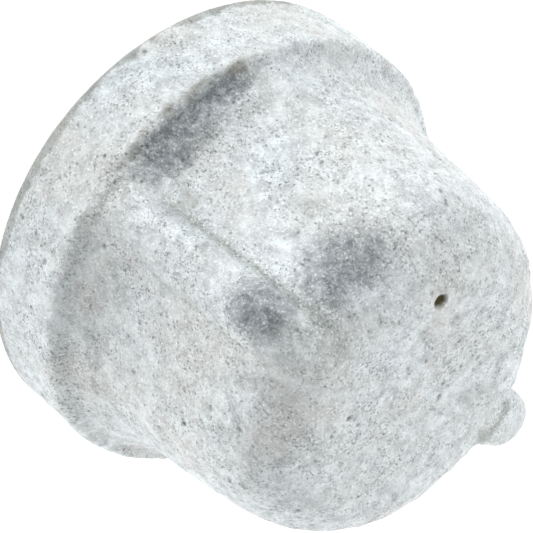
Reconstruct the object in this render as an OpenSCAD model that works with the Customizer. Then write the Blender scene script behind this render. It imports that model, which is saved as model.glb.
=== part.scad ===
// Pipe cap, nominal pipe size 1/2, 14 threads per inch, galvanised malleable iron.
// The mouth faces down at z = 0, the closed end is up, and the thread's axis is Z.
// The mould's parting plane is XZ, and the gate side is +X. Millimetres.

/* [Pipe thread] */
// Diameter over the thread's roots at the mouth
thread_root_d = 21.24; // [21.1:0.01:21.4]
// Diameter of the cored hole, which is also the diameter over the thread's crests
thread_crest_d = 18.26; // [18.2:0.01:18.6]
// Pitch of the thread
pitch = 1.814; // [1.75:0.001:1.9]
// Number of full threads
thread_turns = 6; // [5:1:6]
// Depth of the countersink at the mouth
mouth_chamfer = 1.2; // [0.8:0.1:1.5]
// Outer diameter of the threaded wall, inside the collar
socket_d = 23.1; // [22.8:0.1:23.4]

/* [Collar] */
// Outer diameter of the collar
collar_d = 31; // [30.4:0.1:33]
// Width of the collar along the axis
collar_w = 6.2; // [5.5:0.1:8]
// Rounding of the collar's edges
collar_edge = 0.9; // [0.4:0.1:1.5]

/* [Wrench body] */
// Distance across the flats, next to the collar
across_flats = 26.5; // [26:0.1:28]
// Rounding of the six corners
corner_r = 11; // [4:0.1:11]
// Draft of the body's sides, in degrees
draft = 5.7; // [3:0.1:6]

/* [Closed end] */
// Height of the whole cap
cap_h = 22.9; // [22.5:0.1:25]
// Rounding where the sides meet the end
end_edge = 4.4; // [3:0.1:4.6]
// Rise of the end's middle above its rim
end_crown = 0.2; // [0.1:0.1:0.6]
// Thickness of the end wall at its middle
end_wall = 3; // [2.6:0.1:3.4]
// Diameter of the smooth chamber behind the thread
chamber_d = 19.6; // [19:0.1:20.4]
// Rounding of the chamber's far corner
chamber_corner = 2.8; // [2:0.1:3.4]

/* [Ribs] */
// Width of a parting rib at its root
rib_w = 4; // [3:0.1:4.6]
// Width of a parting rib along its crest
rib_crest_w = 2.4; // [1.5:0.1:2.6]
// How far a rib's crest lies inside the collar's rim
rib_step = 0.15; // [0.1:0.05:1]

/* [Gate stub] */
// Width of the stub where the gate was broken off
stub_w = 3; // [2.4:0.1:3.6]
// Length of the stub
stub_l = 1.4; // [1:0.1:2]
// Angle of the stub above the horizontal, in degrees
stub_tilt = 38; // [20:1:60]

/* [Hidden] */
zinc = [0.80, 0.82, 0.83];
bare_iron = [0.45, 0.44, 0.43];
curve = 96;
corner_curve = 32;
thin = 0.01;
// How far a cutting shape passes the surface that it opens
past = 1;

crest_r = thread_crest_d / 2;
socket_r = socket_d / 2;
collar_r = collar_d / 2;
chamber_r = chamber_d / 2;
// The pipe thread tapers 1 in 16 on the diameter
thread_taper = 1 / 32;
// Flat at the bottom of each groove, and half of the thread's 60 degree angle
groove_flat = 0.07;
flank = 30;
thread_end = mouth_chamfer + thread_turns * pitch;

flat_r = across_flats / 2;
// The body ends and the closed end begins where the chamber's corner starts
chamber_top = cap_h - end_wall;
end_start = chamber_top - chamber_corner;
edge_start = cap_h - end_crown - end_edge;

rib_base_r = collar_r - rib_step;
// A rib starts inside the body, which is then cut away from it
rib_core_r = 6;

function lean(z) = (z - collar_w) * tan(draft);
function root_r(z) = thread_root_d / 2 - z * thread_taper;
function groove_z(i) = mouth_chamfer + (i + 0.5) * pitch;
function groove_half(i) = groove_flat / 2 + (root_r(groove_z(i)) - crest_r) * tan(flank);

// One slice of the body: a hexagon with round corners, its corners on the X axis
module hex_slice(z, inset) {
    side_r = flat_r - lean(z) - inset;
    round_r = max(corner_r - inset, 0.8);
    for (k = [0 : 5])
        rotate([0, 0, 60 * k])
            translate([(side_r - round_r) / cos(30), 0, z])
                cylinder(r = round_r, h = thin, $fn = corner_curve);
}

// The outer shape of the body's side, from the collar to the closed end
module body_outside() {
    hull() {
        hex_slice(collar_w, 0);
        hex_slice(end_start - thin, 0);
    }
}

// The outer shape of the closed end: a round edge and a low crown
module end_outside() {
    hull() {
        hex_slice(end_start, 0);
        for (turn = [0 : 15 : 90])
            hex_slice(edge_start + end_edge * sin(turn) - thin, end_edge * (1 - cos(turn)));
        hex_slice(cap_h - end_crown * 0.3, end_edge * 2);
        hex_slice(cap_h - thin, end_edge * 3);
    }
}

// Half of the chamber's section, with a round far corner
module chamber_section() {
    square([chamber_r - chamber_corner, chamber_top]);
    square([chamber_r, end_start]);
    translate([chamber_r - chamber_corner, end_start]) circle(r = chamber_corner, $fn = curve);
}

// The chamber behind the thread
module chamber() {
    rotate_extrude($fn = curve)
        intersection() {
            chamber_section();
            translate([0, thread_end]) square([chamber_r, cap_h]);
        }
}

// A rib's side view, shrunk by inset, with a round end that follows the closed end
module rib_section(inset) {
    top_r = rib_base_r - lean(edge_start) - inset;
    far_z = edge_start + end_edge - inset;
    arc_r = end_edge - inset;
    polygon(concat(
        [[rib_core_r, collar_w], [rib_base_r - inset, collar_w]],
        [for (turn = [0 : 10 : 90])
            [top_r - arc_r * (1 - cos(turn)), edge_start + arc_r * sin(turn)]],
        [[rib_core_r, far_z]]));
}

// A plate of the rib's side view, width wide, on the +X side
module rib_plate(width, inset) {
    translate([0, width / 2, 0])
        rotate([90, 0, 0])
            linear_extrude(width) rib_section(inset);
}

module rib_outside() {
    hull() {
        rib_plate(rib_crest_w, 0);
        rib_plate(rib_w, (rib_w - rib_crest_w) / 2);
    }
}

module rib() {
    difference() {
        rib_outside();
        body_outside();
        end_outside();
    }
}

// The threaded wall: a straight bore with a ring groove for each turn, tapering as pipe thread does
module threaded_socket() {
    color(bare_iron)
        rotate_extrude($fn = curve)
            polygon(concat(
                [[socket_r, 0], [crest_r + mouth_chamfer, 0], [crest_r, mouth_chamfer]],
                [for (i = [0 : thread_turns - 1]) each [
                    [crest_r, groove_z(i) - groove_half(i)],
                    [root_r(groove_z(i)), groove_z(i) - groove_flat / 2],
                    [root_r(groove_z(i)), groove_z(i) + groove_flat / 2],
                    [crest_r, groove_z(i) + groove_half(i)]]],
                [[crest_r, thread_end], [socket_r, thread_end]]));
}

// The round band that stiffens the mouth
module collar() {
    color(zinc)
        rotate_extrude($fn = curve) {
            translate([socket_r, 0]) square([collar_r - collar_edge - socket_r, collar_w]);
            translate([socket_r, collar_edge])
                square([collar_r - socket_r, collar_w - 2 * collar_edge]);
            for (z = [collar_edge, collar_w - collar_edge])
                translate([collar_r - collar_edge, z]) circle(r = collar_edge, $fn = curve);
        }
}

// The hexagonal wall between the collar and the closed end
module wrench_body() {
    color(zinc)
        difference() {
            body_outside();
            translate([0, 0, collar_w - past])
                cylinder(r = socket_r, h = thread_end - collar_w + past, $fn = curve);
            translate([0, 0, thread_end - past])
                cylinder(r = chamber_r, h = end_start - thread_end + 2 * past, $fn = curve);
        }
}

// The end wall, with the far end of the chamber hollowed out of it
module closed_end() {
    color(zinc)
        difference() {
            end_outside();
            chamber();
        }
}

module gate_side_rib() {
    color(zinc) rib();
}

module far_side_rib() {
    color(zinc) mirror([1, 0, 0]) rib();
}

// The stub of the gate, a short tongue on the round end of the gate side's rib
module gate_stub() {
    root_x = rib_base_r - lean(edge_start) - end_edge;
    color(zinc)
        difference() {
            translate([root_x, 0, edge_start])
                rotate([0, 90 - stub_tilt, 0])
                    hull() {
                        for (y = [-1, 1])
                            translate([0, y * (stub_w / 2 - 1), 0])
                                cylinder(r = 1.2, h = end_edge, $fn = corner_curve);
                        for (y = [-1, 1])
                            translate([0, y * (stub_w / 2 - 1.2), end_edge + stub_l - 1])
                                sphere(r = 0.8, $fn = corner_curve);
                    }
            rib_outside();
            body_outside();
            end_outside();
        }
}

threaded_socket();
collar();
wrench_body();
closed_end();
gate_side_rib();
far_side_rib();
gate_stub();
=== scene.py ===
import math

import bpy
import numpy as np
from mathutils import Matrix, Vector


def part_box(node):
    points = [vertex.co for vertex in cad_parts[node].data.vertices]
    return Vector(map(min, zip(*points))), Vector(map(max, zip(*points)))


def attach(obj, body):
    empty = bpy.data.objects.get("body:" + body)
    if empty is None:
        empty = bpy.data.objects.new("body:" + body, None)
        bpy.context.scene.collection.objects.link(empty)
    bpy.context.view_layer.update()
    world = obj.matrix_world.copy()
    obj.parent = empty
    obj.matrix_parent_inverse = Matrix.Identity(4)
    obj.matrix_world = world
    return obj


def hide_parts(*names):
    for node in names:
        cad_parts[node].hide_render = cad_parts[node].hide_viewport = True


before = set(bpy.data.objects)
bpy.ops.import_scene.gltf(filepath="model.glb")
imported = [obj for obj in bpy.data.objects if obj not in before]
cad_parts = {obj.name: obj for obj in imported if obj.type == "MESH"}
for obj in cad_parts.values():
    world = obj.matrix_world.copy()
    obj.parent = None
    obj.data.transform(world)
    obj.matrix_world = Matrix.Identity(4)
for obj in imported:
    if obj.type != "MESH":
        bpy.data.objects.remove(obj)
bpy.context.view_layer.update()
mm = 0.001  # shapes are worked out in millimetres and go into the meshes in metres

low, high = {}, {}
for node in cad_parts:
    low[node], high[node] = [np.array(corner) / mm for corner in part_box(node)]


casting = {
    "collarRadius": high["collar"][0],
    "collarWidth": high["collar"][2],
    "socketRadius": high["threaded_socket"][0],
    "threadEnd": high["threaded_socket"][2],
    "flatRadius": high["wrench_body"][1],  # from the axis to a flat, next to the collar
    "endStart": low["closed_end"][2],
    "height": high["closed_end"][2],
    "draft": math.tan(math.radians(5.7)),
    "cornerRounding": 11.0,
    "facet": 0.4,  # how far the two flats beside the far rib are sunk
    "facetBlend": 0.5,
    "rimRounding": 0.4,  # the collar's edge at the mouth
    "collarRounding": 0.7,  # the collar's edge towards the body
    "endRounding": 4.4,
    "crown": 0.2,
    "crownRadius": 9.0,
    "collarFillet": 4.0,
    "chamberRadius": 9.8,
    "chamberRounding": 2.8,
    "endWall": 3.0,
}

ribs = {
    "halfWidth": 1.6,
    "edgeRounding": 1.35,
    "belowRim": 0.25,  # how far the crest lies inside the collar's rim
    "draft": math.tan(math.radians(7.6)),
    "fillet": 0.9,
    "wideFillet": 2.0,  # on the far rib's side at -Y
    "aside": 0.25,  # how far the far rib's middle lies towards -Y
    "endRounding": 4.6,
    "endBelowTop": 0.25,
    "dipStart": 9.6,  # further in, the crest dips below the end face
    "dip": 0.6,
    "fades": 7.6,  # radius on the end face by which a rib has died out
    "sunk": 0.05,
}

grid = {
    "ribColumns": 22,  # columns on each half of a rib
    "flankColumns": 306,  # columns between one rib and the other
    "rimRows": 7,
    "sideRows": 34,
    "frontRows": 26,
    "bodyRows": 88,
    "endRows": 104,
    "hiddenRows": 3,
    "mouthRows": 18,
    "chamberRows": 16,
    "domeBendRows": 12,
    "domeRows": 18,
    "arcPoints": 40,  # points of the nominal profile round the end's edge, and over its top
    "topPoints": 60,
    "kneeInset": 1.2,  # how far inside the collar's rim the columns of the body are set out
}

# How points are brought onto a surface: each step moves a point by this share of the field there
search = {
    "share": 0.9,
    "steps": 26,
    "sideSteps": 20,
}


# Intersection of two shapes with a round edge: inside both, and a quarter circle across the edge
def roundedMax(a, b, rounding):
    outside = np.hypot(np.maximum(a + rounding, 0), np.maximum(b + rounding, 0))
    return np.minimum(np.maximum(a, b), -rounding) + outside


# Union of two shapes with a fillet: the lower distance, less a parabola where the two are within reach
def smoothMin(a, b, reach):
    near = np.maximum(reach - np.abs(a - b), 0) / reach
    return np.minimum(a, b) - near * near * reach / 4


cos30 = math.cos(math.radians(30))
tan30 = math.tan(math.radians(30))


# Distance to a hexagon with round corners, flats square to Y: the plane is folded into one sixth and
# measured to its side
def hexDistance(x, y, apothem, corner):
    side = apothem - corner
    px, py = np.abs(x), np.abs(y)
    fold = 2 * np.minimum(0.5 * py - cos30 * px, 0)
    px, py = px + cos30 * fold, py - 0.5 * fold
    px = px - np.clip(px, -tan30 * side, tan30 * side)
    py = py - side
    return np.hypot(px, py) * np.sign(py) - corner


def lean(z):
    return casting["draft"] * (z - casting["collarWidth"])


# A round plate from the mouth to the collar's width, both edges rounded
def collarField(x, y, z):
    side = np.hypot(x, y) - casting["collarRadius"]
    front = roundedMax(side, z - casting["collarWidth"], casting["collarRounding"])
    return roundedMax(front, -z, casting["rimRounding"])


# A drafted hexagon under a low crown, with a round edge between the two
def bodyField(x, y, z):
    side = hexDistance(x, y, casting["flatRadius"] - lean(z), casting["cornerRounding"])
    flat = 0.5 * np.abs(y) - cos30 * x - (casting["flatRadius"] - casting["facet"] - lean(z))
    side = -smoothMin(-side, -flat, casting["facetBlend"])
    bulge = casting["crown"] * (x * x + y * y) / casting["crownRadius"] ** 2
    return roundedMax(side, z - casting["height"] + bulge, casting["endRounding"])


# A rib on each side of the parting plane's X axis: a strip with a drafted crest, a round end and round
# edges
def ribField(x, y, z):
    y = np.where(x < 0, y + ribs["aside"], y)
    crest = casting["collarRadius"] - ribs["belowRim"] - ribs["draft"] * (z - casting["collarWidth"])
    inward = np.maximum(ribs["dipStart"] - np.abs(x), 0)
    top = casting["height"] - ribs["endBelowTop"] - ribs["dip"] * inward
    lengthwise = roundedMax(np.abs(x) - crest, z - top, ribs["endRounding"])
    return roundedMax(np.abs(y) - ribs["halfWidth"], lengthwise, ribs["edgeRounding"])


# Body and ribs joined with a fillet, which is wider on one side of the far rib
def coreField(x, y, z):
    wider = np.clip(-y, 0, 1) * (x < 0)
    reach = ribs["fillet"] + (ribs["wideFillet"] - ribs["fillet"]) * wider
    return smoothMin(bodyField(x, y, z), ribField(x, y, z), reach)


# Any core joined to the collar: the fillet shrinks towards the collar's rim, and the core stops just
# below its face
def joinCollar(core, x, y, z):
    roomy = casting["collarRadius"] - np.hypot(x, y)
    reach = np.clip(0.3 + 2.2 * roomy, 0.3, casting["collarFillet"])
    core = np.maximum(core, casting["collarWidth"] - 1.0 - z)
    return smoothMin(collarField(x, y, z), core, reach)


# How deep a point lies in a fillet, 0 to 1: its closeness to the farther of the two shapes joined there;
# shade is painted on the zinc by this share
def creaseShare(points, width=0.9):
    x, y, z = points[..., 0], points[..., 1], points[..., 2]
    body, rib, collar = bodyField(x, y, z), ribField(x, y, z), collarField(x, y, z)
    corner = np.maximum(1 - np.maximum(body, rib) / width, 0)
    foot = np.maximum(1 - np.maximum(np.minimum(body, rib), collar) / width, 0)
    foot = foot * np.clip((z - casting["collarWidth"]) / 0.5 + 0.6, 0, 1)
    return np.clip(np.maximum(corner * (body > -0.3), foot), 0, 1)


def plainField(x, y, z):
    return joinCollar(bodyField(x, y, z), x, y, z)


def castField(x, y, z):
    return joinCollar(coreField(x, y, z), x, y, z)


# Moves points along their own directions until the field there is zero
def settle(points, directions, field):
    for _ in range(search["steps"]):
        miss = field(points[..., 0], points[..., 1], points[..., 2])
        points = points - directions * (search["share"] * miss)[..., None]
    return points


# Outward unit normal of a field, from its differences over a small step
def fieldNormal(points, field, step=0.05):
    slope = np.empty_like(points)
    for axis in range(3):
        shift = np.zeros(3)
        shift[axis] = step
        ahead, behind = points + shift, points - shift
        slope[..., axis] = (field(ahead[..., 0], ahead[..., 1], ahead[..., 2])
                            - field(behind[..., 0], behind[..., 1], behind[..., 2]))
    return slope / np.linalg.norm(slope, axis=-1, keepdims=True)


# Sizes in mm: those of the first four are a feature's size and its height
relief = {
    "swell": (5.4, 0.13),  # unevenness of the mould
    "lump": (1.9, 0.055),  # drips and lumps of zinc
    "grain": (0.70, 0.055),  # sand grain of the casting under the zinc
    "fine": (0.34, 0.042),
    # marks: spacing, depth or height, share of places that have one, smallest and largest radius
    "dent": (1.25, 0.085, 0.16, 0.30, 0.62),
    "pit": (0.62, 0.075, 0.36, 0.13, 0.30),
    "bead": (1.1, 0.05, 0.30, 0.25, 0.5),
    "pitGroups": 3.2,  # size of the groups that pits come in
    "calming": 0.6,  # part of the roughness that a pool or a fillet takes away
    "trueRim": 1.2,  # height from the mouth below which the relief fades
}

latticeSize = 32
lattices = np.random.default_rng(11).random((6, latticeSize, latticeSize, latticeSize))
turned = np.array(Matrix.Rotation(0.7, 3, Vector((0.3, 0.8, 0.5)).normalized()))


# Smooth random values: a lattice of random numbers, blended between its eight corners, from -1 to 1
def smoothNoise(points, size, layer):
    place = (points @ turned.T) / size + 17.3 * (layer + 1)
    cell = np.floor(place).astype(np.int64)
    part = place - cell
    part = part * part * (3 - 2 * part)
    values = lattices[layer % len(lattices)]
    total = 0
    for corner in range(8):
        step = np.array([corner & 1, corner >> 1 & 1, corner >> 2 & 1])
        at = (cell + step) % latticeSize
        weight = np.prod(np.where(step == 1, part, 1 - part), axis=-1)
        total = total + weight * values[at[..., 0], at[..., 1], at[..., 2]]
    return total * 2 - 1


# Round marks at random places, one at most in each cell: dishes whose depth falls to zero at their radius
def scatter(points, kind, layer):
    spacing, _, share, smallest, largest = relief[kind]
    place = (points @ turned.T) / spacing + 9.1 * (layer + 1)
    home = np.floor(place).astype(np.int64)
    deepest = np.zeros(points.shape[:-1])
    for step in np.ndindex(3, 3, 3):
        cell = home + np.array(step) - 1
        at = (cell + 5 * layer) % latticeSize
        chance = [lattices[k][at[..., 0], at[..., 1], at[..., 2]] for k in range(6)]
        centre = cell + 0.15 + 0.7 * np.stack(chance[:3], axis=-1)
        radius = (smallest + (largest - smallest) * chance[3] ** 2) / spacing
        dish = np.maximum(1 - np.sum((place - centre) ** 2, axis=-1) / radius ** 2, 0)
        depth = dish * dish * (0.4 + 0.6 * chance[5])
        deepest = np.maximum(deepest, np.where(chance[4] < share, depth, 0))
    return deepest


# Places where the zinc ran together and set smooth, and where a dark reflection is painted on it: angle
# about the axis in degrees, radius, height, and size in mm
poolsWithPaintedReflection = [
    {"at": (160, 14.0, 7.0), "size": (3.8, 1.6)},
    {"at": (145, 14.5, 6.5), "size": (3.2, 1.1)},
    {"at": (155, 11.5, 20.0), "size": (3.7, 2.4)},
    {"at": (180, 13.0, 19.0), "size": (1.9, 2.2)},
]

# Single marks: at and to are angle, radius and height; a mark is a dish round that line, or a ring at
# its size from it
scars = [
    {"at": (125, 7.0, 22.9), "size": 0.50, "depth": 0.40, "stain": 1.0},  # blowhole in the end
    {"at": (120, 6.5, 22.9), "to": (105, 7.5, 22.9), "size": 0.15, "depth": 0.10, "dark": 0.5},
    {"at": (155, 8.0, 22.5), "size": 0.60, "depth": 0.06, "ring": True, "dark": 0.35},
    {"at": (15, 4.0, 22.9), "to": (20, 6.5, 22.9), "size": 0.75, "depth": 0.15, "dark": 0.2},
    {"at": (170, 13.0, 10.0), "size": 0.80, "depth": 0.03, "stain": 0.28},
    {"at": (150, 12.0, 15.5), "size": 1.70, "depth": 0.0, "stain": 0.08},
]

# The grey band where the zinc thins out at the mouth's rim, and a line of painted shade on the collar's
# edge beside the pools
edges = {
    "rimBand": 0.8,
    "ragged": 0.45,
    "border": 0.15,  # width over which the band fades out
    "lineWidth": 0.25,
    "lineInset": 0.35,  # how far the line lies behind the collar's front face
    "lineDepth": 0.08,
    "rimStain": 0.38,
    "paintedLineShade": 0.6,
}


def around(angle, radius, z):
    turn = math.radians(angle)
    return np.array([radius * math.cos(turn), radius * math.sin(turn), z])


# How smooth the zinc is, 0 to 1, which is also the share of painted dark reflection: an oval falloff
# round each pool, longest along the tangent
def poolAndPaintedReflectionShare(points):
    share = np.zeros(points.shape[:-1])
    for poolAndPaintedReflection in poolsWithPaintedReflection:
        tangent = around(poolAndPaintedReflection["at"][0] + 90, 1, 0)
        away = points - around(*poolAndPaintedReflection["at"])
        along = away @ tangent
        sideways = np.linalg.norm(away - along[..., None] * tangent, axis=-1)
        long, wide = poolAndPaintedReflection["size"]
        share = np.maximum(share, np.exp(-((along / long) ** 2 + (sideways / wide) ** 2) ** 2))
    return share


marking = {
    "raggedSize": 0.5,
    "ragged": 0.35,  # part of a mark's distance by which its edge wanders
    "ringWidth": 0.13,
    "gapSize": 0.8,  # gaps in a ring
}


# How near each point lies to a mark, 0 to 1, with a ragged edge
def scarShare(points, scar):
    start = around(*scar["at"])
    line = around(*scar.get("to", scar["at"])) - start
    share = np.clip((points - start) @ line / max(line @ line, 1e-9), 0, 1)
    away = np.linalg.norm(points - start - share[..., None] * line, axis=-1)
    away = away * (1 + marking["ragged"] * smoothNoise(points, marking["raggedSize"], 3))
    if scar.get("ring"):
        broken = np.clip(0.7 + smoothNoise(points, marking["gapSize"], 4), 0, 1)
        return np.exp(-((away - scar["size"]) / marking["ringWidth"]) ** 2) * broken
    return np.maximum(1 - (away / scar["size"]) ** 2, 0) ** 1.5


# Shares of the rim's band and of the painted shade line on the collar's front edge, both with ragged
# borders
def edgeShares(points, smoothWithPaintedReflection):
    radius, z = np.hypot(points[..., 0], points[..., 1]), points[..., 2]
    ragged = edges["ragged"] * (smoothNoise(points, 1.6, 4) + 0.6 * smoothNoise(points, 0.5, 5))
    onSide = radius > casting["collarRadius"] - 0.6
    band = np.clip((edges["rimBand"] + ragged - z) / edges["border"], 0, 1) * onSide
    fromEdge = np.abs(z - casting["collarWidth"] + edges["lineInset"] + 0.5 * ragged)
    line = np.exp(-(fromEdge / edges["lineWidth"]) ** 2) * onSide
    besidePaintedReflection = np.clip(6 * smoothWithPaintedReflection, 0, 1)
    broken = np.clip(0.8 + smoothNoise(points, 0.9, 5), 0, 1)
    return band, line * besidePaintedReflection * broken


# Height of the zinc surface over the smooth shape, and how pitted, pooled, creased and stained it is; the
# pooled share is also where a dark reflection is painted, the creased share where shade is painted in the
# fillets, and the stained share adds painted shade along a line on the collar's edge
def zincRelief(points):
    smoothWithPaintedReflection, creased = poolAndPaintedReflectionShare(points), creaseShare(points)
    height = relief["swell"][1] * smoothNoise(points, relief["swell"][0], 0)
    height += relief["lump"][1] * smoothNoise(points, relief["lump"][0], 1)
    rough = relief["grain"][1] * smoothNoise(points, relief["grain"][0], 2)
    rough += relief["fine"][1] * smoothNoise(points, relief["fine"][0], 3)
    dents, pits, beads = scatter(points, "dent", 1), scatter(points, "pit", 2), scatter(points, "bead", 3)
    pits *= np.clip(0.65 + 1.3 * smoothNoise(points, relief["pitGroups"], 4), 0.15, 1.3)
    rough += relief["bead"][1] * beads - relief["dent"][1] * dents - relief["pit"][1] * pits
    calm = np.maximum(smoothWithPaintedReflection, np.clip(2 * creased - 0.6, 0, 1))
    height += rough * (1 - relief["calming"] * calm)
    height *= np.clip(points[..., 2] / relief["trueRim"], 0.2, 1)
    pitted = np.maximum(pits, 0.6 * dents) * (1 - calm)
    band, line = edgeShares(points, smoothWithPaintedReflection)
    height -= edges["lineDepth"] * line
    # the rim's band is a stain of the zinc; the line on the collar's edge is painted shade
    stainedAndPaintedShade = np.maximum(edges["rimStain"] * band, edges["paintedLineShade"] * line)
    for scar in scars:
        share = scarShare(points, scar)
        height -= scar["depth"] * share
        pitted = np.maximum(pitted, share * scar.get("dark", 0))
        stainedAndPaintedShade = np.maximum(stainedAndPaintedShade, np.clip(share * 2, 0, 1) * scar.get("stain", 0))
    return height, {"pitted": pitted, "pooledWithPaintedReflection": smoothWithPaintedReflection, "creased": creased, "stainedAndPaintedShade": stainedAndPaintedShade}


# Corner numbers of the quads between neighbouring rows and columns of a grid
def gridQuads(rows, columns, wrapRows, wrapColumns):
    row = np.arange(rows if wrapRows else rows - 1)[:, None]
    column = np.arange(columns if wrapColumns else columns - 1)[None, :]
    nextRow, nextColumn = (row + 1) % rows, (column + 1) % columns
    corners = [row * columns + column, row * columns + nextColumn,
               nextRow * columns + nextColumn, nextRow * columns + column]
    return np.stack(np.broadcast_arrays(*corners), axis=-1).reshape(-1, 4)


# A mesh object from points in mm, quads and triangles, with one number per point for each attribute
def buildMesh(name, points, quads, triangles, attributes, sharpAngle=65):
    mesh = bpy.data.meshes.new(name)
    mesh.vertices.add(len(points))
    mesh.vertices.foreach_set("co", np.ascontiguousarray(points * mm, dtype=np.float32).ravel())
    loops = np.concatenate([quads.ravel(), triangles.ravel()]).astype(np.int32)
    quadStarts = np.arange(len(quads)) * 4
    starts = np.concatenate([quadStarts, len(quads) * 4 + np.arange(len(triangles)) * 3])
    mesh.loops.add(len(loops))
    mesh.loops.foreach_set("vertex_index", loops)
    mesh.polygons.add(len(starts))
    mesh.polygons.foreach_set("loop_start", starts.astype(np.int32))
    mesh.update(calc_edges=True)
    mesh.validate()
    mesh.shade_smooth()
    mesh.set_sharp_from_angle(angle=math.radians(sharpAngle))
    for key, values in attributes.items():
        layer = mesh.attributes.new(key, "FLOAT", "POINT")
        layer.data.foreach_set("value", np.ascontiguousarray(values, dtype=np.float32).ravel())
    piece = bpy.data.objects.new(name, mesh)
    bpy.context.scene.collection.objects.link(piece)
    return piece


# Puts a piece on the root body, hides the model's parts that it stands for, and gives it its material
def fit(piece, slot, material, *nodes):
    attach(piece, "root")
    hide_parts(*nodes)
    piece.data.materials.append(material)
    print("piece", piece.name, len(piece.data.polygons), "faces")


# Angle of each column in rows of these radii: even steps of Y over a rib, even angles between ribs
def columnAngles(radius):
    halfWidth = ribs["halfWidth"] + ribs["aside"] + ribs["wideFillet"] * 0.6
    edge = np.arcsin(halfWidth / np.maximum(radius, ribs["fades"]))[:, None]
    overRib = np.arange(-grid["ribColumns"], grid["ribColumns"])[None, :] / grid["ribColumns"]
    onRib = np.arcsin(np.sin(edge) * overRib)
    between = np.arange(grid["flankColumns"])[None, :] / grid["flankColumns"]
    flank = edge + (math.pi - 2 * edge) * between
    return np.concatenate([onRib, flank, math.pi + onRib, math.pi + flank], axis=1)


ribSpan = 2 * grid["ribColumns"]
farStart = ribSpan + grid["flankColumns"]
columnCount = 2 * farStart


# Radius of a field's side at each angle and height, found by stepping outwards
def sideRadius(angles, heights, field):
    radius = np.full(np.broadcast(angles, heights).shape, casting["flatRadius"] + 0.5)
    for _ in range(search["sideSteps"]):
        miss = field(radius * np.cos(angles), radius * np.sin(angles), heights)
        radius = radius - search["share"] * miss
    return radius


# Points of a polar grid
def polar(radius, angles, heights):
    radius, angles, heights = np.broadcast_arrays(radius, angles, heights)
    return np.stack([radius * np.cos(angles), radius * np.sin(angles), heights], axis=-1)


# Rows from the mouth to the collar's front face, then up the body, then over the end to its middle. Each
# row starts on the collar, the body or the end alone, and is then moved out onto the filleted surface.
def outerRows(sideField, field):
    collarRadius, width = casting["collarRadius"], casting["collarWidth"]
    rim, edge = casting["rimRounding"], casting["collarRounding"]
    turn = np.linspace(0, math.pi / 2, grid["rimRows"])[:, None]
    steps = np.linspace(0, 1, grid["sideRows"])[1:, None]
    rowRadius = np.concatenate([collarRadius - rim + rim * np.sin(turn), collarRadius + 0 * steps])
    rowHeight = np.concatenate([rim - rim * np.cos(turn), rim + (width - edge - rim) * steps])
    collarAngles = columnAngles(rowRadius[:, 0])
    collarRows = polar(rowRadius, collarAngles, rowHeight)

    # front of the collar: round its edge, then straight in until it meets the body's side
    knee = collarRadius - grid["kneeInset"]
    angles = columnAngles(np.full(1, knee))
    meets = sideRadius(angles, width, sideField)
    turnEnd = np.arccos(np.clip((meets - collarRadius + edge) / edge, 0, 1))
    straight = np.maximum(collarRadius - edge - meets, 0)
    share = np.linspace(0, 1, grid["frontRows"])[1:, None]
    travel = share * (turnEnd * edge + straight)
    bend = np.minimum(travel / edge, turnEnd)
    frontRadius = collarRadius - edge + edge * np.cos(bend) - np.maximum(travel - turnEnd * edge, 0)
    frontHeight = width - edge + edge * np.sin(bend)
    frontRows = polar(frontRadius, angles, frontHeight)

    # up the body's side
    meetHeight = frontHeight[-1:]
    share = np.linspace(0, 1, grid["bodyRows"])[1:, None]
    heights = meetHeight + (casting["endStart"] - meetHeight) * share
    nominal = knee - lean(width + (casting["endStart"] - width) * share[:, 0])
    bodyAngles = columnAngles(nominal)
    bodyRows = polar(sideRadius(bodyAngles, heights, sideField), bodyAngles, heights)

    rows = np.concatenate([collarRows, frontRows, bodyRows])
    outward = rows.copy()
    outward[..., 2] = 0
    outward /= np.linalg.norm(outward, axis=-1, keepdims=True)
    diagonal = (outward + np.array([0, 0, 1])) / math.sqrt(2)
    firstFront = len(collarRows)
    rows[firstFront:] = settle(rows[firstFront:], diagonal[firstFront:], field)

    # over the end: rays from a point on the axis, their elevations even along a nominal profile
    middle = casting["endStart"] - 5
    last = rows[-1:]
    firstElevation = np.arctan2(last[..., 2] - middle, np.hypot(last[..., 0], last[..., 1]))
    sideR = casting["flatRadius"] + 0.2 - lean(casting["height"] - 4)
    bendR = casting["endRounding"]
    arc = np.linspace(0, math.pi / 2, grid["arcPoints"])
    inward = np.linspace(sideR - bendR, 0, grid["topPoints"])[1:]
    profileR = np.concatenate([[sideR + 0.2], sideR - bendR + bendR * np.cos(arc), inward])
    bendZ = casting["height"] - bendR - 0.3 + bendR * np.sin(arc)
    topZ = np.full(len(inward), casting["height"] - 0.2)
    profileZ = np.concatenate([[casting["endStart"]], bendZ, topZ])
    length = np.concatenate([[0], np.cumsum(np.hypot(np.diff(profileR), np.diff(profileZ)))])
    at = np.linspace(0, length[-1], grid["endRows"] + 1)[1:-1]
    nominalR, nominalZ = np.interp(at, length, profileR), np.interp(at, length, profileZ)
    elevation = np.arctan2(nominalZ - middle, nominalR)
    start = math.atan2(casting["endStart"] - middle, sideR + 0.2)
    part = ((elevation - start) / (math.pi / 2 - start))[:, None]
    # the rows start at the body's last row, and after the round edge they no longer depend on it
    elevation = elevation[:, None] + (firstElevation - start) * np.clip(1 - part / 0.35, 0, 1) ** 2
    endAngles = columnAngles(np.minimum(nominalR, nominal[-1]))
    ray = polar(np.cos(elevation), endAngles, np.sin(elevation))
    endRows = settle(ray * 9 + np.array([0, 0, middle]), ray, field)
    return np.concatenate([rows, endRows])


collarLast = grid["rimRows"] + grid["sideRows"] - 1 + grid["frontRows"] - 1 - 1
bodyLast = collarLast + grid["bodyRows"] - 1

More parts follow.
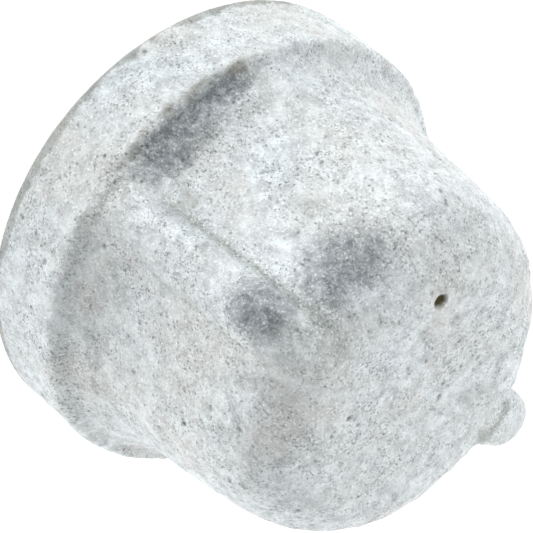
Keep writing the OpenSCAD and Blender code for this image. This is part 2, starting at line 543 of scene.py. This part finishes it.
smoothOuter = outerRows(coreField, castField)
normals = fieldNormal(smoothOuter, castField)
lift, marks = zincRelief(smoothOuter)
outer = smoothOuter + normals * lift[..., None]

# What lies under the ribs: the same rows on the shape without them
smoothUnder = outerRows(bodyField, plainField)
underNormals = fieldNormal(smoothUnder, plainField)
under = smoothUnder + underNormals * zincRelief(smoothUnder)[0][..., None]
print("outer surface", outer.shape)

# Body and end under a rib: sunk a little there, so that the rib's thin edges lie clear of them
ribLast = bodyLast + int(np.argmax(smoothOuter[bodyLast:, 0, 0] < ribs["fades"]))
ribColumns = np.concatenate([np.arange(ribSpan), farStart + np.arange(ribSpan)])
overRib = np.sin(math.pi * (np.arange(ribSpan) % ribSpan) / ribSpan)
beforeEnd = np.clip((ribLast - np.arange(ribLast)) / 6, 0, 1)
sink = ribs["sunk"] * beforeEnd[:, None] * np.tile(overRib, 2)
bedding = under[:ribLast, ribColumns] - underNormals[:ribLast, ribColumns] * sink[..., None]
ribEdges = np.arange(ribLast)[:, None], np.array([0, farStart])[None, :]
core = outer.copy()
core[:ribLast, ribColumns] = bedding
core[ribEdges] = outer[ribEdges]


# Even rows from one row of points to another, across a hidden or inner face, without the first row
def across(first, last, count):
    share = np.linspace(0, 1, count + 1)[1:, None, None]
    return first + (last - first) * share


# A ring of points at one radius and height, at the angles of a row of points
def ringLike(row, radius, height):
    angle = np.arctan2(row[:, 1], row[:, 0])
    return polar(float(radius), angle, float(height))


# Moves the points of an inner surface by the zinc's relief; direction points out of the metal
def roughen(rows, direction, amount):
    return rows + direction * (amount * zincRelief(rows)[0])[..., None]


def inwards(rows):
    flat = rows * np.array([1, 1, 0])
    return -flat / np.maximum(np.linalg.norm(flat, axis=-1, keepdims=True), 1e-6)


def makeCollar(material):
    shown = outer[:collarLast + 1]
    front, rim = shown[-1], shown[0]
    socket, width = casting["socketRadius"], casting["collarWidth"]
    inside = across(front, ringLike(front, socket, width), grid["hiddenRows"])
    wall = across(inside[-1], ringLike(rim, socket, 0), grid["hiddenRows"])
    mouth = across(wall[-1], rim, grid["mouthRows"])[:-1]
    dull = np.abs(smoothNoise(mouth, relief["grain"][0], 2)) * relief["grain"][1]
    mouth = mouth + np.array([0, 0, 1]) * dull[..., None]
    rows = np.concatenate([shown, inside, wall, mouth])
    attributes = outerAttributes(rows, 0, len(shown))
    quads = gridQuads(len(rows), columnCount, True, True)
    piece = buildMesh("collarCasting", rows.reshape(-1, 3), quads, noTriangles, attributes)
    fit(piece, "galvanised_iron", material, "collar")


# The marks of each point where the outer surface shows, and none on the hidden and inner faces
def outerAttributes(rows, firstRow, shownRows):
    attributes = {}
    for key, values in marks.items():
        full = np.zeros(rows.shape[:2])
        full[:shownRows] = values[firstRow:firstRow + shownRows]
        attributes[key] = full
    return attributes


def makeBody(material):
    shown = core[collarLast:bodyLast + 1]
    foot, top = shown[0], shown[-1]
    chamber, socket = casting["chamberRadius"], casting["socketRadius"]
    ledge = across(top, ringLike(top, chamber, casting["endStart"]), grid["hiddenRows"])
    inner = across(ledge[-1], ringLike(foot, chamber, casting["threadEnd"]), grid["chamberRows"])
    inner[:-1] = roughen(inner[:-1], inwards(inner[:-1]), 0.5)
    step = across(inner[-1], ringLike(foot, socket, casting["threadEnd"]), 1)
    wall = across(step[-1], ringLike(foot, socket, casting["collarWidth"]), grid["hiddenRows"])
    base = across(wall[-1], foot, grid["hiddenRows"])[:-1]
    rows = np.concatenate([shown, ledge, inner, step, wall, base])
    attributes = outerAttributes(rows, collarLast, len(shown))
    quads = gridQuads(len(rows), columnCount, True, True)
    piece = buildMesh("bodyCasting", rows.reshape(-1, 3), quads, noTriangles, attributes)
    fit(piece, "galvanised_iron", material, "wrench_body")


# The end wall: outer rows up to a pole, and under them the chamber's dome, from its own pole out to the
# same rim
def makeEnd(material):
    shown = core[bodyLast:]
    rim = shown[0]
    chamber, bend = casting["chamberRadius"], casting["chamberRounding"]
    start, ceiling = casting["endStart"], casting["height"] - casting["endWall"]
    turn = np.linspace(0, math.pi / 2, grid["domeBendRows"])[:, None, None]
    flat = np.linspace(1, 0, grid["domeRows"] + 1)[1:-1, None, None]
    ring = ringLike(rim, 1, 0)
    up = np.array([0, 0, 1])
    bendRows = ring * (chamber - bend + bend * np.cos(turn)) + up * (start + bend * np.sin(turn))
    flatRows = ring * ((chamber - bend) * flat) + np.array([0, 0, ceiling])
    dome = np.concatenate([bendRows, flatRows])
    down = np.array([0, 0, start - 3.0]) - dome
    dome[1:] = roughen(dome[1:], down[1:] / np.linalg.norm(down[1:], axis=-1, keepdims=True), 0.5)
    ledge = across(dome[0], rim, grid["hiddenRows"])[:-1]
    rows = np.concatenate([dome[::-1], ledge, shown])
    innerPole = np.array([0, 0, dome[-1, :, 2].mean()])
    outerPole = np.array([0, 0, shown[-1, :, 2].mean()])
    attributes = outerAttributes(rows, bodyLast, 0)
    for key, values in marks.items():
        attributes[key][-len(shown):] = values[bodyLast:]
    attributes = {key: np.append(values.ravel(), [0, 0]) for key, values in attributes.items()}
    quads = gridQuads(len(rows), columnCount, False, True)
    column = np.arange(columnCount)
    following = (column + 1) % columnCount
    count, lastRow = rows[..., 0].size, (len(rows) - 1) * columnCount
    fans = np.concatenate([
        np.stack([np.full(columnCount, count), following, column], axis=-1),
        np.stack([lastRow + column, lastRow + following, np.full(columnCount, count + 1)], axis=-1)])
    points = np.concatenate([rows.reshape(-1, 3), [innerPole, outerPole]])
    piece = buildMesh("endCasting", points, quads, fans, attributes)
    fit(piece, "galvanised_iron", material, "closed_end")


# A rib: its rows run out over the ribbed surface and back along the body under it, and meet where the
# rib dies out
def makeRib(name, firstColumn, material, node):
    columns = (firstColumn + np.arange(ribSpan + 1)) % columnCount
    over = outer[collarLast:ribLast + 1, columns]
    below = core[collarLast:ribLast + 1, columns]
    below[:, [0, -1]] = over[:, [0, -1]]
    below[-1] = over[-1]
    loop = np.concatenate([over, below[:, -2:0:-1]], axis=1)
    rows, ringCount = loop.shape[:2]
    attributes = {}
    for key, values in marks.items():
        shown = values[collarLast:ribLast + 1, columns]
        hidden = np.zeros((rows, ringCount - shown.shape[1]))
        attributes[key] = np.concatenate([shown, hidden], axis=1).ravel()
    quads = gridQuads(rows - 1, ringCount, False, True)
    # the last row closes onto the ribbed surface alone, and the foot is capped between its two edges
    lastOver = (rows - 1) * ringCount + np.arange(ribSpan + 1)
    upTo = np.concatenate([lastOver, lastOver[-2:0:-1]])
    previous = (rows - 2) * ringCount + np.arange(ringCount)
    closing = np.stack([previous, np.roll(previous, -1), np.roll(upTo, -1), upTo], axis=-1)
    quads = np.concatenate([quads, closing])
    span = np.arange(1, ribSpan - 1)
    cap = np.stack([span, ringCount - span, ringCount - span - 1, span + 1], axis=-1)
    ends = np.array([[0, ringCount - 1, 1], [ribSpan - 1, ribSpan + 1, ribSpan]])
    piece = buildMesh(name, loop.reshape(-1, 3), np.concatenate([quads, cap]), ends, attributes)
    fit(piece, "galvanised_iron", material, node)


# The stub of the gate: a flat tongue along its own axis, an oval section that swells from both ends and
# a rough break
stub = {
    "start": (5.8, 0.35, 21.3),
    "tip": (14.15, 0.35, 20.55),
    "halfWidth": 1.95,
    "halfThickness": 1.6,
    "squareness": 2.7,
    "rows": 110,
    "columns": 130,
    "lump": (1.6, 0.18),  # size and height
    "grain": (0.55, 0.07),  # strongest on the break
    "zincShare": 0.6,  # share of the other castings' relief
}


def makeStub(material):
    start, tip = np.array(stub["start"]), np.array(stub["tip"])
    length = np.linalg.norm(tip - start)
    axis = (tip - start) / length
    sideways = np.array([0, 1.0, 0])
    upright = np.cross(axis, sideways)
    turn = np.linspace(0, math.pi, stub["rows"])[1:-1, None]
    angle = (np.arange(stub["columns"]) / stub["columns"] * 2 * math.pi)[None, :]
    power = 2 / stub["squareness"]
    along = -np.sign(np.cos(turn)) * np.abs(np.cos(turn)) ** power * length / 2
    size = np.sin(turn) ** power
    wide = np.sign(np.cos(angle)) * np.abs(np.cos(angle)) ** 0.85 * stub["halfWidth"]
    thick = np.sign(np.sin(angle)) * np.abs(np.sin(angle)) ** 0.85 * stub["halfThickness"]
    middle = (start + tip) / 2
    rows = (middle + along[..., None] * axis + (size * wide)[..., None] * sideways
            + (size * thick)[..., None] * upright)
    outward = rows - (middle + 0.8 * along[..., None] * axis)
    outward /= np.linalg.norm(outward, axis=-1, keepdims=True)
    broken = np.clip(along / length * 4 - 1, 0, 1)
    lift = stub["lump"][1] * smoothNoise(rows, stub["lump"][0], 4)
    lift += stub["grain"][1] * (0.4 + broken) * smoothNoise(rows, stub["grain"][0], 5)
    raised, stubMarks = zincRelief(rows)
    rows = rows + outward * (lift + stub["zincShare"] * raised)[..., None]
    count, columns = rows[..., 0].size, stub["columns"]
    column = np.arange(columns)
    following = (column + 1) % columns
    lastRow = count - columns
    fans = np.concatenate([
        np.stack([np.full(columns, count), following, column], axis=-1),
        np.stack([lastRow + column, lastRow + following, np.full(columns, count + 1)], axis=-1)])
    points = np.concatenate([rows.reshape(-1, 3), [start, rows[-1].mean(axis=0)]])
    attributes = {key: np.append(values.ravel(), [0, 0]) for key, values in stubMarks.items()}
    quads = gridQuads(len(rows), columns, False, True)
    piece = buildMesh("gateStub", points, quads, fans, attributes)
    fit(piece, "galvanised_iron", material, "gate_stub")


# The tapped thread: a right-hand helical groove with 60 degree flanks on the pipe's taper, cut off at
# the cored hole
thread = {
    "rootRadius": 10.62,
    "crestRadius": 9.13,
    "pitch": 1.814,
    "taper": 1 / 32,
    "chamfer": 1.2,
    "grooveFlat": 0.07,
    "runOut": 0.5,
    "columns": 360,
    "rows": 190,
    "chatter": 0.008,
}


def makeThread(material):
    length, socket = casting["threadEnd"], casting["socketRadius"]
    angle = (np.arange(thread["columns"]) / thread["columns"] * 2 * math.pi)[None, :]
    height = np.linspace(length, 0, thread["rows"])[:, None]
    turns = height / thread["pitch"] - angle / (2 * math.pi)
    fromGroove = np.abs(turns % 1 - 0.5) * thread["pitch"]
    root = thread["rootRadius"] - height * thread["taper"]
    flank = (fromGroove - thread["grooveFlat"] / 2) / math.tan(math.radians(30))
    cut = np.clip(root - np.maximum(flank, 0) - thread["crestRadius"], 0, None)
    cut *= np.clip((length - height) / thread["runOut"], 0, 1)
    chamfer = thread["crestRadius"] + thread["chamfer"] - height
    radius = np.maximum(thread["crestRadius"] + cut, chamfer)
    inner = polar(radius, angle, height)
    inner += inwards(inner) * (thread["chatter"] * smoothNoise(inner, 0.6, 2))[..., None]
    wall = polar(socket + 0 * angle, angle, np.linspace(0, length, 4)[:, None])
    ledge = across(wall[-1], inner[0], 3)[:-1]
    mouth = across(inner[-1], wall[0], 4)[:-1]
    rows = np.concatenate([wall, ledge, inner, mouth])
    quads = gridQuads(len(rows), thread["columns"], True, True)
    piece = buildMesh("tappedThread", rows.reshape(-1, 3), quads, noTriangles, {}, 28)
    fit(piece, "bare_iron", material, "threaded_socket")


# sRGB hex colour to linear values
def linear(code):
    values = [int(code[k:k + 2], 16) / 255 for k in (1, 3, 5)]
    return [v / 12.92 if v <= 0.04045 else ((v + 0.055) / 1.055) ** 2.4 for v in values] + [1.0]


# Adds a node: inputs are values or sockets to link, by name or number, and the rest are the node's own
# settings
def addNode(tree, kind, inputs=None, **settings):
    made = tree.nodes.new("ShaderNode" + kind)
    for key, value in settings.items():
        setattr(made, key, value)
    for key, value in (inputs or {}).items():
        if isinstance(value, bpy.types.NodeSocket):
            tree.links.new(value, made.inputs[key])
        else:
            made.inputs[key].default_value = value
    return made


# Scale of a pattern whose features are this many millimetres across
def perMetre(size):
    return 1000 / size


def newMaterial(name):
    material = bpy.data.materials.new(name)
    material.use_nodes = True
    material.node_tree.nodes.clear()
    return material, material.node_tree


zincFinish = {
    "pale": "#E6EEF1",
    "metallic": 0.7,
    "roughness": 0.44,
    "roughnessSpread": 0.08,
    "poolRoughness": 0.28,
    "pits": 0.34,  # sizes in mm
    "pitDistances": (0.34, 0.14),  # parts of a pit's cell at which its dot starts and is full
    "crystal": 0.20,
    "sparkle": 0.20,
    "grainDepth": 0.07,
    "pitBump": -0.8,  # shares of the bump's height beside the sparkle
    "crystalBump": -0.5,
    "leastSpecks": 0.2,  # share of specks left between their clusters
    "poolFlecks": 0.4,  # share of flecks left in a pool
}

# Clouds of tone on the zinc: size in mm, detail and roughness of the noise, and the noise values at which
# the cloud starts and is full
zincClouds = {
    "broad": (5.8, 3.0, 0.6, 0.38, 0.62),
    "mottle": (0.95, 5.0, 0.7, 0.38, 0.62),
    "clusters": (2.4, 3.0, 0.6, 0.40, 0.60),
    "speckle": (0.18, 3.0, 0.8, 0.53, 0.64),
    "flecks": (0.17, 3.0, 0.8, 0.46, 0.36),
    "ragged": (0.70, 6.0, 0.75, 0.30, 0.70),
    "scattered": (0.90, 2.0, 0.6, 0.48, 0.60),
}

# Tones laid over the pale zinc, in order: each one's share, colour and strength
zincTones = [
    ("mottle", "#C3CACD", 1.0),
    ("broad", "#D2CDC6", 0.4),
    # painted shade in the middles of the fillets
    ("paintedCreaseShade", "#9FA6A0", 0.85),
    # painted dark reflection on the pools
    ("poolAndPaintedReflection", "#6B7277", 0.9),
    ("flecks", "#FCFEFE", 0.85),
    ("speckle", "#6C7072", 0.9),
    ("dots", "#74787A", 0.45),
    ("pitted", "#6E7071", 0.9),
    # the stained tone holds the real stains and the painted shade line on the collar's edge
    ("stainedAndPaintedShade", "#5A5638", 1.0),
]


# Zinc from the hot-dip bath on sand-cast iron: pale, dull and mottled, with dark specks in its pits,
# smooth where it pooled, with a painted dark reflection on the pools, painted shade in the middles of
# the fillets and a line of painted shade on the collar's edge
def galvanised():
    material, tree = newMaterial("hot-dip galvanised malleable iron")
    where = addNode(tree, "TexCoord").outputs["Object"]
    share = {}
    for name, (size, detail, roughness, start, full) in zincClouds.items():
        noise = addNode(tree, "TexNoise", {
            "Vector": where, "Scale": perMetre(size), "Detail": detail, "Roughness": roughness})
        cloud = addNode(tree, "MapRange", {
            "Value": noise.outputs["Fac"], "From Min": start, "From Max": full})
        share[name] = cloud.outputs[0]
    for name in ("pitted", "pooledWithPaintedReflection", "creased", "stainedAndPaintedShade"):
        share[name] = addNode(tree, "Attribute", attribute_name=name).outputs["Fac"]

    # round dots, only in places, specks that come in clusters, and painted shade in the middles of the
    # fillets
    cells = addNode(tree, "TexVoronoi", {"Vector": where, "Scale": perMetre(zincFinish["pits"])})
    starts, full = zincFinish["pitDistances"]
    disc = addNode(tree, "MapRange", {
        "Value": cells.outputs["Distance"], "From Min": starts, "From Max": full})
    dots = addNode(tree, "Math", {0: disc.outputs[0], 1: share["scattered"]}, operation="MULTIPLY")
    share["dots"] = dots.outputs[0]
    loose = addNode(tree, "MapRange", {
        "Value": share["clusters"], "To Min": zincFinish["leastSpecks"], "To Max": 1.0})
    specks = addNode(tree, "Math", {0: share["speckle"], 1: loose.outputs[0]}, operation="MULTIPLY")
    share["speckle"] = specks.outputs[0]
    paintedCreaseShade = addNode(tree, "MapRange", {"Value": share["creased"], "From Min": 0.25, "From Max": 0.8})
    share["paintedCreaseShade"] = paintedCreaseShade.outputs[0]

    # a pool's border is broken by noise, and a pool has few flecks; the pool's share also paints a dark
    # reflection on the zinc
    border = addNode(tree, "MapRange", {"Value": share["ragged"], "To Min": -0.5, "To Max": 0.5})
    broken = addNode(tree, "Math", {0: share["pooledWithPaintedReflection"], 1: border.outputs[0]}, operation="ADD")
    torn = addNode(tree, "MapRange", {"Value": broken.outputs[0], "From Min": 0.1, "From Max": 1.25})
    inside = addNode(tree, "MapRange", {"Value": share["pooledWithPaintedReflection"], "From Min": 0.02, "From Max": 0.45})
    poolAndPaintedReflection = addNode(tree, "Math", {0: torn.outputs[0], 1: inside.outputs[0]}, operation="MULTIPLY")
    share["poolAndPaintedReflection"] = poolAndPaintedReflection.outputs[0]
    clear = addNode(tree, "MapRange", {
        "Value": share["poolAndPaintedReflection"], "To Min": 1.0, "To Max": zincFinish["poolFlecks"]})
    flecks = addNode(tree, "Math", {0: share["flecks"], 1: clear.outputs[0]}, operation="MULTIPLY")
    share["flecks"] = flecks.outputs[0]

    colour = linear(zincFinish["pale"])
    for name, tone, strength in zincTones:
        amount = addNode(tree, "MapRange", {"Value": share[name], "To Max": strength})
        layered = addNode(tree, "Mix", {
            0: amount.outputs[0], 6: colour, 7: linear(tone)}, data_type="RGBA")
        colour = layered.outputs[2]

    middle, spread = zincFinish["roughness"], zincFinish["roughnessSpread"]
    dull = addNode(tree, "MapRange", {
        "Value": share["mottle"], "To Min": middle - spread, "To Max": middle + spread})
    rough = addNode(tree, "Mix", {0: share["poolAndPaintedReflection"], 2: dull.outputs[0], 3: zincFinish["poolRoughness"]})

    # bump: fine noise less the dots and the borders of the zinc's crystals
    crystals = addNode(tree, "TexVoronoi", {
        "Vector": where, "Scale": perMetre(zincFinish["crystal"])}, feature="SMOOTH_F1")
    grit = addNode(tree, "TexNoise", {
        "Vector": where, "Scale": perMetre(zincFinish["sparkle"]), "Detail": 4.0, "Roughness": 0.8})
    height = addNode(tree, "Math", {
        0: share["dots"], 1: zincFinish["pitBump"], 2: grit.outputs["Fac"]}, operation="MULTIPLY_ADD")
    height = addNode(tree, "Math", {
        0: crystals.outputs["Distance"], 1: zincFinish["crystalBump"], 2: height.outputs[0]},
        operation="MULTIPLY_ADD")
    bump = addNode(tree, "Bump", {
        "Height": height.outputs[0], "Strength": 1.0, "Distance": zincFinish["grainDepth"] * mm})
    shader = addNode(tree, "BsdfPrincipled", {
        "Base Color": colour, "Roughness": rough.outputs[0], "Metallic": zincFinish["metallic"],
        "Normal": bump.outputs[0]})
    addNode(tree, "OutputMaterial", {"Surface": shader.outputs[0]})
    return material


ironFinish = {
    "bright": "#8E8C88",
    "oily": "#5B5750",
    "roughness": (0.24, 0.49),
    "metallic": 1.0,
    "cut": 0.12,  # sizes in mm
    "cutDepth": 0.01,
    "blotch": 2.5,
}


# Malleable iron after tapping: darker than the zinc, with fine rings left by the tap and a film of oil
def bareIron():
    material, tree = newMaterial("tapped malleable iron")
    where = addNode(tree, "TexCoord").outputs["Object"]
    stretched = addNode(tree, "Mapping", {"Vector": where, "Scale": (0.12, 0.12, 1.0)})
    rings = addNode(tree, "TexNoise", {
        "Vector": stretched.outputs[0], "Scale": perMetre(ironFinish["cut"]), "Detail": 3.0})
    blotch = addNode(tree, "TexNoise", {
        "Vector": where, "Scale": perMetre(ironFinish["blotch"]), "Detail": 4.0})
    oiled = addNode(tree, "MapRange", {"Value": blotch.outputs[0], "From Min": 0.35, "From Max": 0.65})
    colour = addNode(tree, "Mix", {
        0: oiled.outputs[0], 6: linear(ironFinish["bright"]), 7: linear(ironFinish["oily"])},
        data_type="RGBA")
    least, most = ironFinish["roughness"]
    rough = addNode(tree, "MapRange", {"Value": rings.outputs[0], "To Min": least, "To Max": most})
    bump = addNode(tree, "Bump", {
        "Height": rings.outputs[0], "Strength": 0.5, "Distance": ironFinish["cutDepth"] * mm})
    shader = addNode(tree, "BsdfPrincipled", {
        "Base Color": colour.outputs[2], "Roughness": rough.outputs[0],
        "Metallic": ironFinish["metallic"], "Normal": bump.outputs[0]})
    addNode(tree, "OutputMaterial", {"Surface": shader.outputs[0]})
    return material


noTriangles = np.zeros((0, 3), dtype=np.int64)
zinc, iron = galvanised(), bareIron()
print("materials", zinc.name, "and", iron.name)
makeCollar(zinc)
makeBody(zinc)
makeEnd(zinc)
makeRib("gateSideRib", 0, zinc, "gate_side_rib")
makeRib("farSideRib", farStart, zinc, "far_side_rib")
makeStub(zinc)
makeThread(iron)


studio = {
    "floorSize": 3.0,
    "floorGap": 0.02,  # mm below the mouth, so that the two faces don't coincide
    "floorColour": "#F6F6F6",
    "floorGlow": 0.72,
    "dome": 1.38,
    "flags": (0.0, 1.0, 0.0),  # grey flags dim the light from both ends of this direction
    "flagDepth": 0.52,
    "darkSpot": 0.05,
    "darkHalfAngle": (25, 56),
    "darkPlace": (180, 37),  # azimuth and elevation of the dark spot's middle
    "keyDirection": (-0.74, 0.66, 0.22),
    "keyPower": 1.0,
    "keySize": 0.40,
    "keyDistance": 0.55,
}

# The camera looks at the aim, a point near the cap's axis: angles in degrees, lengths in mm
view = {
    "azimuth": 171.94,
    "elevation": 37.07,
    "roll": 128.62,
    "distance": 165.37,
    "aim": (0.05, 0.33, 7.60),
    "lens": 175.6,
    "sensor": 36.0,
}


# Unit vector towards a direction given by its azimuth and elevation
def towards(azimuth, elevation):
    level = math.cos(math.radians(elevation))
    return Vector((level * math.cos(math.radians(azimuth)), level * math.sin(math.radians(azimuth)),
                   math.sin(math.radians(elevation))))


def makeFloor():
    half = studio["floorSize"] / 2 / mm
    outline = np.array([[-half, -half], [half, -half], [half, half], [-half, half]])
    corners = np.column_stack([outline, np.full(4, -studio["floorGap"])])
    floor = buildMesh("floor", corners, np.array([[0, 1, 2, 3]]), noTriangles, {})
    material, tree = newMaterial("matt white board")
    colour = linear(studio["floorColour"])
    shader = addNode(tree, "BsdfPrincipled", {
        "Base Color": colour, "Roughness": 0.9, "Specular IOR Level": 0.2,
        "Emission Color": colour, "Emission Strength": studio["floorGlow"]})
    addNode(tree, "OutputMaterial", {"Surface": shader.outputs[0]})
    floor.data.materials.append(material)


# White but for grey sides and a soft dark spot where the camera stands; the camera itself sees plain
# white
def makeWorld():
    world = bpy.data.worlds.new("studio")
    bpy.context.scene.world = world
    world.use_nodes = True
    tree = world.node_tree
    tree.nodes.clear()
    direction = addNode(tree, "TexCoord").outputs["Generated"]
    toDark = towards(*studio["darkPlace"])
    facing = addNode(tree, "VectorMath", {0: direction, 1: toDark}, operation="DOT_PRODUCT")
    inner, outerEdge = [math.cos(math.radians(a)) for a in studio["darkHalfAngle"]]
    dome = addNode(tree, "MapRange", {
        "Value": facing.outputs["Value"], "From Min": outerEdge, "From Max": inner,
        "To Min": studio["dome"], "To Max": studio["darkSpot"]}, interpolation_type="SMOOTHSTEP")
    aside = addNode(tree, "VectorMath", {0: direction, 1: studio["flags"]}, operation="DOT_PRODUCT")
    toSide = addNode(tree, "Math", {0: aside.outputs["Value"]}, operation="ABSOLUTE")
    dimmed = addNode(tree, "MapRange", {
        "Value": toSide.outputs[0], "To Min": 1.0, "To Max": 1 - studio["flagDepth"]})
    lit = addNode(tree, "Math", {0: dome.outputs["Result"], 1: dimmed.outputs[0]}, operation="MULTIPLY")
    seen = addNode(tree, "LightPath").outputs["Is Camera Ray"]
    strength = addNode(tree, "Mix", {0: seen, 2: lit.outputs[0], 3: 1.0}).outputs[0]
    back = addNode(tree, "Background", {"Color": (1, 1, 1, 1), "Strength": strength})
    addNode(tree, "OutputWorld", {"Surface": back.outputs[0]})


def makeKey():
    light = bpy.data.lights.new("softbox", "AREA")
    light.shape = "SQUARE"
    light.size = studio["keySize"]
    light.energy = studio["keyPower"]
    lamp = bpy.data.objects.new("softbox", light)
    direction = Vector(studio["keyDirection"]).normalized()
    lamp.matrix_world = (Matrix.Translation(direction * studio["keyDistance"] + Vector((0, 0, 0.012)))
                         @ direction.to_track_quat("Z", "Y").to_matrix().to_4x4())
    lamp.visible_camera = False
    bpy.context.scene.collection.objects.link(lamp)


def makeCamera():
    camera = bpy.data.cameras.new("camera")
    camera.lens, camera.sensor_width = view["lens"], view["sensor"]
    camera.clip_start, camera.clip_end = 0.01, 20.0
    back = towards(view["azimuth"], view["elevation"])
    level = Vector((0, 0, 1)).cross(back).normalized()
    right = Matrix.Rotation(math.radians(view["roll"]), 3, back) @ level
    turn = Matrix((right, back.cross(right), back)).transposed().to_4x4()
    location = (Vector(view["aim"]) + view["distance"] * back) * mm
    holder = bpy.data.objects.new("camera", camera)
    holder.matrix_world = Matrix.Translation(location) @ turn
    bpy.context.scene.collection.objects.link(holder)
    bpy.context.scene.camera = holder


makeFloor()
makeWorld()
makeKey()
makeCamera()
bpy.context.scene.view_settings.view_transform = "Standard"
print("floor, world, softbox and camera")
